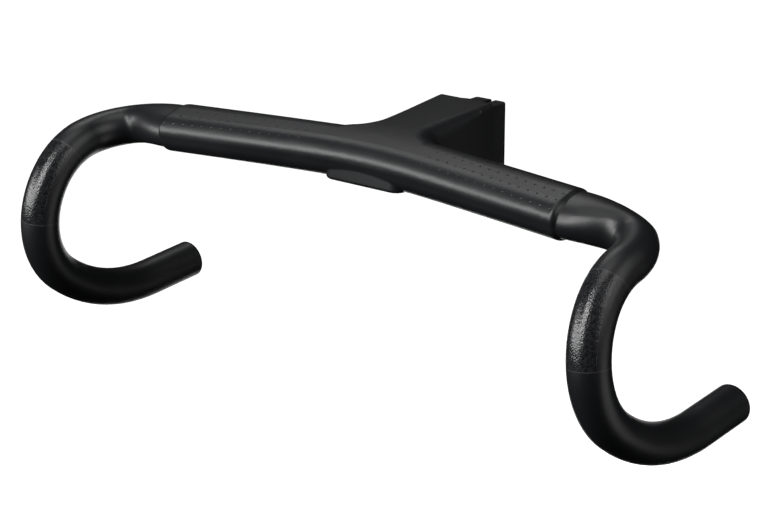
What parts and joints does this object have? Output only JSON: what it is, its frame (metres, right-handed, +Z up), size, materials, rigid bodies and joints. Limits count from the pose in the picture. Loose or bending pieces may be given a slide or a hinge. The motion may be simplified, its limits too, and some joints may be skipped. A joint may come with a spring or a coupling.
{
  "type": "integrated bicycle handlebar and stem",
  "caption": "One-piece moulded drop handlebar and stem with wing-shaped tops, stepped necks, compact flared drops and a split clamp for a round steerer",
  "frame": {"origin": "on the steerer clamp's axis, halfway up the clamp", "axes": "+Z up the steerer, -Y the way the bicycle rides, +X towards the rider's left, along the bar"},
  "size_m": [0.443, 0.1889, 0.1531],
  "materials": {
    "carbon": "moulded carbon fibre under a satin black lacquer",
    "bolt_steel": "steel, blackened",
    "insert_aluminium": "turned aluminium"
  },
  "bodies": {
    "root": {"bar_stem_body": "carbon", "clamp_bolt_upper": "bolt_steel", "clamp_bolt_lower": "bolt_steel", "clamp_washer_upper": "bolt_steel", "clamp_washer_lower": "bolt_steel", "clamp_insert_upper": "insert_aluminium", "clamp_insert_lower": "insert_aluminium", "mount_insert_left": "insert_aluminium", "mount_insert_right": "insert_aluminium"}
  },
  "joints": []
}
